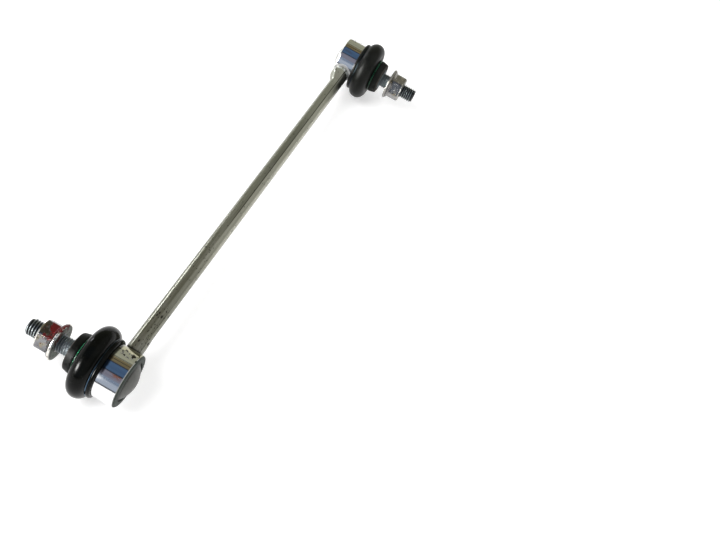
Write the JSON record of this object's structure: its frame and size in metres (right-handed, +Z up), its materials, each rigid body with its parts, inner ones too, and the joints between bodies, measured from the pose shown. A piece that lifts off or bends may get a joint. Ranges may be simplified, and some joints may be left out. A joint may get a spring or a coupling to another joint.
{
  "type": "stabilizer link",
  "caption": "Straight anti-roll bar link: a round rod with a ball joint at each end, rubber boots, threaded studs pointing opposite ways and flange nuts.",
  "frame": {"origin": "middle of the rod, halfway between the two ball centres", "axes": "+X along the rod from the left ball to the right one, +Y the way the left stud points (the right stud points to -Y), +Z up with the link lying on its boots"},
  "size_m": [0.3472, 0.1052, 0.0422],
  "materials": {
    "rod_zinc": "dull zinc plating",
    "zinc_housing": "bright zinc plating",
    "cap_steel": "satin zinc plating",
    "bearing_plastic": "moulded acetal",
    "stud_steel": "zinc plating with a blue tint",
    "boot_rubber": "semi-gloss black rubber",
    "ring_steel": "dark oiled wire",
    "green_ring": "green coated wire",
    "nut_zinc": "zinc plating with a yellow tint"
  },
  "bodies": {
    "link_body": {"rod": "rod_zinc", "left_housing": "zinc_housing", "left_end_cap": "cap_steel", "left_ball_seat": "bearing_plastic", "right_housing": "zinc_housing", "right_end_cap": "cap_steel", "right_ball_seat": "bearing_plastic"},
    "left_boot_body": {"left_boot": "boot_rubber", "left_base_ring": "ring_steel"},
    "left_neck_body": {"left_neck_ring": "green_ring"},
    "left_stud_body": {"left_ball_stud": "stud_steel"},
    "left_nut_body": {"left_nut": "nut_zinc"},
    "right_boot_body": {"right_boot": "boot_rubber", "right_base_ring": "ring_steel"},
    "right_neck_body": {"right_neck_ring": "green_ring"},
    "right_stud_body": {"right_ball_stud": "stud_steel"},
    "right_nut_body": {"right_nut": "nut_zinc"}
  },
  "joints": [
    {"name": "left_boot_turn", "type": "hinge", "parent": "link_body", "child": "left_boot_body", "pos_m": [-0.1525, 0, 0], "axis": [0, 1, 0], "continuous": true},
    {"name": "left_stud_lean", "type": "hinge", "parent": "left_boot_body", "child": "left_neck_body", "pos_m": [-0.1525, 0, 0], "axis": [0, 0, 1], "range_deg": [-25, 25], "deforming": ["left_boot"]},
    {"name": "left_stud_spin", "type": "hinge", "parent": "left_neck_body", "child": "left_stud_body", "pos_m": [-0.1525, 0, 0], "axis": [0, 1, 0], "continuous": true},
    {"name": "left_nut_travel", "type": "slide", "parent": "left_stud_body", "child": "left_nut_body", "axis": [0, 1, 0], "range_m": [-0.003, 0.03]},
    {"name": "right_boot_turn", "type": "hinge", "parent": "link_body", "child": "right_boot_body", "pos_m": [0.1525, 0, 0], "axis": [0, -1, 0], "continuous": true},
    {"name": "right_stud_lean", "type": "hinge", "parent": "right_boot_body", "child": "right_neck_body", "pos_m": [0.1525, 0, 0], "axis": [0, 0, 1], "range_deg": [-25, 25], "deforming": ["right_boot"]},
    {"name": "right_stud_spin", "type": "hinge", "parent": "right_neck_body", "child": "right_stud_body", "pos_m": [0.1525, 0, 0], "axis": [0, -1, 0], "continuous": true},
    {"name": "right_nut_travel", "type": "slide", "parent": "right_stud_body", "child": "right_nut_body", "axis": [0, -1, 0], "range_m": [-0.0011, 0.03]}
  ]
}
